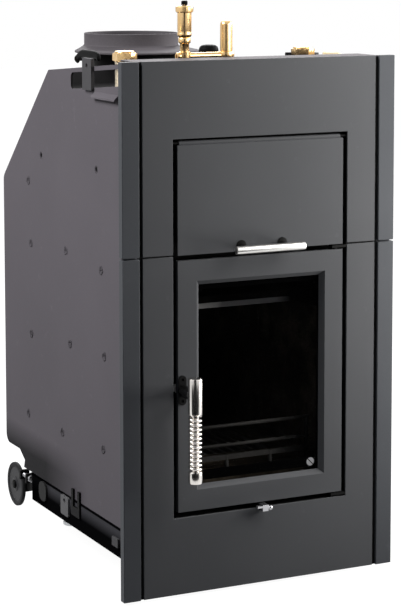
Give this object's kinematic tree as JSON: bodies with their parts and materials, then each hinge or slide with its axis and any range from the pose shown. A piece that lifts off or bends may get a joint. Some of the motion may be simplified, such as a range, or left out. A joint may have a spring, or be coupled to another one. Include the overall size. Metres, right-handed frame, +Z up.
{
  "type": "tiled stove insert",
  "caption": "Insert for a tiled stove: glazed fire door and cleaning flap in a flush grey front, sloped water-jacket body with flue hood and water fittings, feet and rear wheels.",
  "frame": {"origin": "middle of the footprint's bounding box, on the floor", "axes": "+Z up, +X to the right seen from the front, +Y to the rear (the front faces -Y)"},
  "size_m": [0.516, 0.752, 1],
  "materials": {
    "grey_paint": "satin heat-resistant grey paint",
    "black_paint": "matt black paint",
    "sooty_steel": "dark heated steel",
    "stainless": "brushed",
    "chrome": "polished",
    "zinc": "zinc plated",
    "brass": "bright brass",
    "cast_iron": "rough",
    "glass": "clear glass ceramic",
    "firebrick": "matt",
    "rope": "braided glass rope",
    "black_plastic": "satin",
    "pale_plastic": "matt",
    "wheel_rubber": "hard rubber"
  },
  "bodies": {
    "root": {"front_plate_upper": "grey_paint", "front_plate_lower": "grey_paint", "trim_left_upper": "grey_paint", "trim_left_lower": "grey_paint", "trim_right_upper": "grey_paint", "trim_right_lower": "grey_paint", "portal_frame": "black_paint", "top_cover": "grey_paint", "boiler_shell": "grey_paint", "side_panels": "grey_paint", "firebox_shell": "sooty_steel", "stay_pins": "grey_paint", "lifting_lugs": "grey_paint", "flue_neck": "black_paint", "flue_hood": "grey_paint", "flue_collar": "grey_paint", "water_stubs": "zinc", "stub_caps": "brass", "vent_manifold": "brass", "vent_body": "brass", "sensor_well": "brass", "side_cap": "pale_plastic", "coil_stub": "black_plastic", "hatch_cover": "grey_paint", "hatch_knob": "black_plastic", "base_frame": "grey_paint", "side_tabs": "zinc", "levelling_feet": "zinc", "wheel_brackets": "black_paint", "wheel_bolts": "zinc", "air_spigot": "zinc", "bricks_side": "firebrick", "bricks_rear": "firebrick", "bricks_floor": "firebrick", "baffle_plate": "firebrick", "grate": "cast_iron", "ash_pan": "sooty_steel", "log_guard": "sooty_steel", "hinge_brackets": "black_paint", "latch_keeper": "zinc", "flap_hinge_rod": "zinc"},
    "door": {"door_frame": "grey_paint", "door_glass": "glass", "glass_retainers": "zinc", "door_gasket": "rope", "latch_rosette": "grey_paint"},
    "latch": {"latch_shaft": "black_paint", "latch_tongue": "zinc", "grip_core": "stainless", "grip_spiral": "stainless", "grip_cap": "stainless"},
    "flap": {"flap_panel": "grey_paint", "flap_posts": "black_paint", "flap_bar": "stainless"},
    "damper": {"damper_flap": "sooty_steel", "damper_lever": "black_paint"},
    "air_lever": {"air_lever": "chrome"},
    "vent_cap": {"vent_cap": "black_plastic"},
    "wheel_left": {"wheel_left": "wheel_rubber"},
    "wheel_right": {"wheel_right": "wheel_rubber"}
  },
  "joints": [
    {"name": "door_hinge", "type": "hinge", "parent": "root", "child": "door", "pos_m": [0.145, -0.307, 0.36], "axis": [0, 0, 1], "range_deg": [0, 110]},
    {"name": "latch_turn", "type": "hinge", "parent": "door", "child": "latch", "pos_m": [-0.15, -0.315, 0.355], "axis": [0, 1, 0], "range_deg": [0, 75]},
    {"name": "flap_hinge", "type": "hinge", "parent": "root", "child": "flap", "pos_m": [0, -0.3068, 0.7685], "axis": [-1, 0, 0], "range_deg": [0, 90]},
    {"name": "damper_turn", "type": "hinge", "parent": "root", "child": "damper", "pos_m": [0, 0.184, 0.884], "axis": [-1, 0, 0], "range_deg": [0, 70]},
    {"name": "air_slide", "type": "slide", "parent": "root", "child": "air_lever", "axis": [1, 0, 0], "range_m": [-0.025, 0.025]},
    {"name": "vent_cap_turn", "type": "hinge", "parent": "root", "child": "vent_cap", "pos_m": [-0.083, -0.185, 0.995], "axis": [0, 0, 1], "range_deg": [0, 330]},
    {"name": "wheel_left_spin", "type": "hinge", "parent": "root", "child": "wheel_left", "pos_m": [-0.20225, 0.3335, 0.0455], "axis": [1, 0, 0], "continuous": true},
    {"name": "wheel_right_spin", "type": "hinge", "parent": "root", "child": "wheel_right", "pos_m": [0.20225, 0.3335, 0.0455], "axis": [1, 0, 0], "continuous": true}
  ]
}
